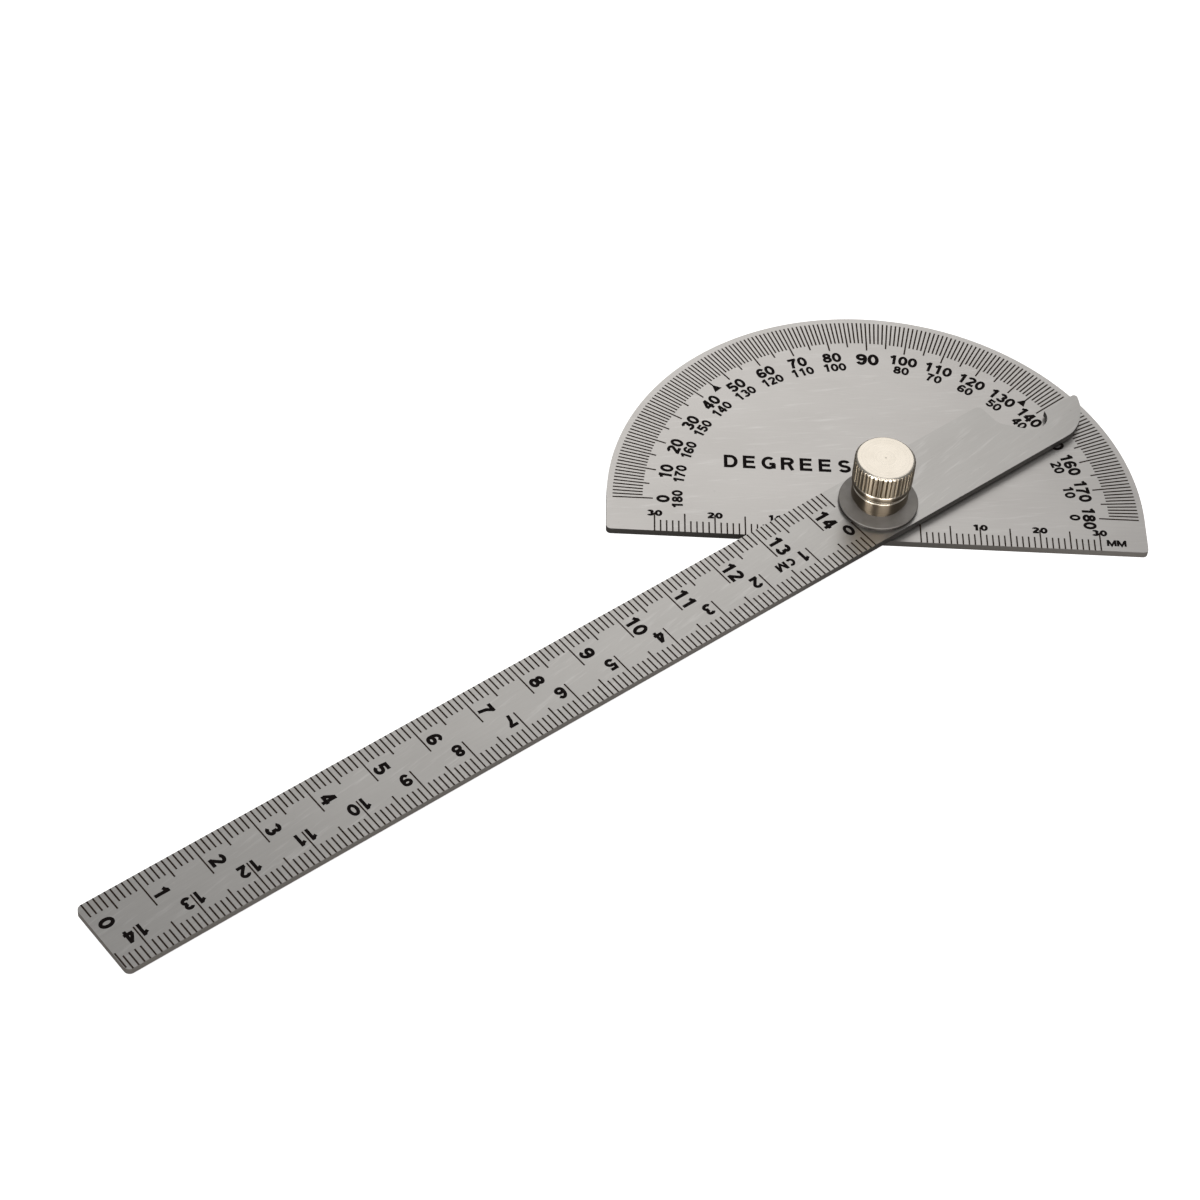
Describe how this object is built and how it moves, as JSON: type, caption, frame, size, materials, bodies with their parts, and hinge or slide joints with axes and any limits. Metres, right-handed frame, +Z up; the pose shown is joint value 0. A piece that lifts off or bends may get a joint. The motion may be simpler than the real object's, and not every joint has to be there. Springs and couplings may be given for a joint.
{
  "type": "protractor",
  "caption": "Half-disc steel protractor with a swinging ruler arm that pivots on a stud and is clamped by a washer and a fluted thumb nut.",
  "frame": {"origin": "centre of the degree scale, on the plate's underside, where the pivot stud's tail is flush with the plate", "axes": "+X along the plate's straight base edge towards its right end, +Y away from that edge, +Z up along the pivot towards the thumb nut"},
  "size_m": [0.1675, 0.1446, 0.0134],
  "materials": {
    "plate_steel": "fine brushed stainless steel, satin",
    "arm_steel": "fine brushed stainless steel, satin",
    "stud_steel": "machined steel",
    "spacer_steel": "plain steel",
    "washer_steel": "dark, slightly polished steel",
    "nickelled_brass": "turned brass with a warm nickel plating",
    "etched_black": "dull black-brown oxide of laser-etched marks"
  },
  "bodies": {
    "base": {"degree_plate": "plate_steel", "pivot_stud": "stud_steel", "spacer_washer": "spacer_steel"},
    "arm": {"ruler_arm": "arm_steel"},
    "washer": {"clamp_washer": "washer_steel"},
    "nut": {"thumb_nut": "nickelled_brass"}
  },
  "joints": [
    {"name": "arm_swing", "type": "hinge", "parent": "base", "child": "arm", "pos_m": [0, 0, 0.002], "axis": [0, 0, 1], "continuous": true},
    {"name": "washer_lift", "type": "slide", "parent": "base", "child": "washer", "axis": [0, 0, 1], "range_m": [0, 0.0014]},
    {"name": "nut_turn", "type": "hinge", "parent": "washer", "child": "nut", "pos_m": [0, 0, 0.008], "axis": [0, 0, 1], "range_deg": [0, 720.5]}
  ],
  "couplings": [
    {"joint": "nut_turn", "follows": "washer_lift", "rad_per_m": 8976}
  ]
}
